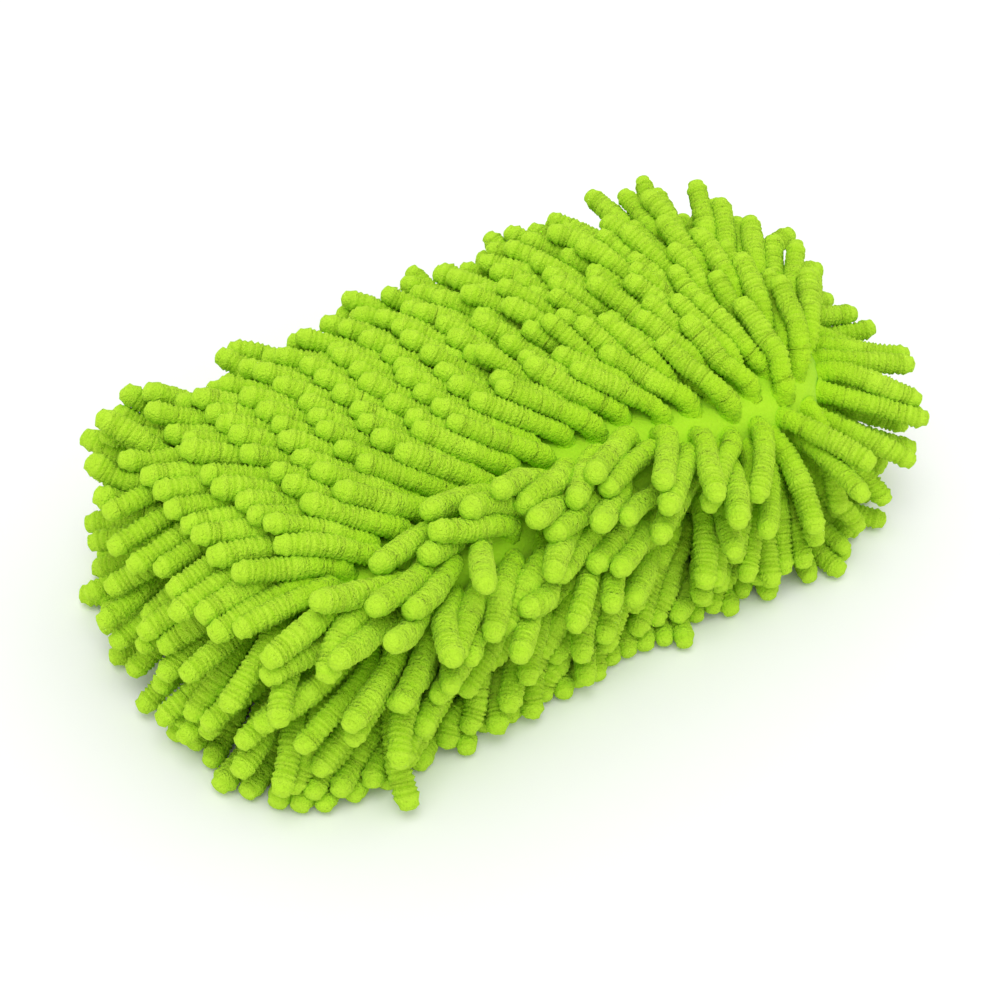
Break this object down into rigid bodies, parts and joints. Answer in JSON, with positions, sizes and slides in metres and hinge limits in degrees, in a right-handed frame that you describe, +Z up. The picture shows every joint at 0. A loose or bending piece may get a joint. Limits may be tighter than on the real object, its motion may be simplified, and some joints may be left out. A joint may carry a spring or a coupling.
{
  "type": "wash mitt",
  "caption": "Block-shaped car wash mitt: foam core in a knitted cover with long chenille fingers on top and all sides, flat back with an elastic hand strap.",
  "frame": {"origin": "under the middle of the mitt, on the surface it lies on", "axes": "+X along the block towards the far end, -X is the end the top fingers are combed to, +Y across, +Z up out of the chenille top"},
  "size_m": [0.2462, 0.1276, 0.0718],
  "materials": {
    "chenille": "matte",
    "knit_cloth": "matte",
    "foam": "matte",
    "mesh_fabric": "matte",
    "binding_tape": "matte",
    "elastic": "matte",
    "thread": "satin",
    "label": "satin"
  },
  "bodies": {
    "block": {"foam_core": "foam", "cover_cloth": "knit_cloth", "back_panel": "mesh_fabric", "seam_binding": "binding_tape", "top_row_01": "chenille", "top_row_02": "chenille", "top_row_03": "chenille", "top_row_04": "chenille", "top_row_05": "chenille", "top_row_06": "chenille", "top_row_07": "chenille", "top_row_08": "chenille", "top_row_09": "chenille", "top_row_10": "chenille", "top_row_11": "chenille", "top_row_12": "chenille", "top_row_13": "chenille", "top_row_14": "chenille", "top_row_15": "chenille", "top_row_16": "chenille", "top_row_17": "chenille", "top_row_18": "chenille", "top_row_19": "chenille", "rear_row_1": "chenille", "rear_row_2": "chenille", "rear_row_3": "chenille", "rear_row_4": "chenille", "near_row_1": "chenille", "near_row_2": "chenille", "near_row_3": "chenille", "near_row_4": "chenille", "front_row_1": "chenille", "front_row_2": "chenille", "front_row_3": "chenille", "front_row_4": "chenille", "far_row_1": "chenille", "far_row_2": "chenille", "far_row_3": "chenille", "far_row_4": "chenille", "strap_end_front": "elastic", "strap_end_rear": "elastic", "bar_tack_front": "thread", "bar_tack_rear": "thread", "care_label": "label"},
    "strap": {"hand_strap": "elastic"}
  },
  "joints": [
    {"name": "strap_stretch", "type": "slide", "parent": "block", "child": "strap", "axis": [0, 0, -1], "range_m": [0, 0.025], "stiffness_N_per_m": 200}
  ]
}
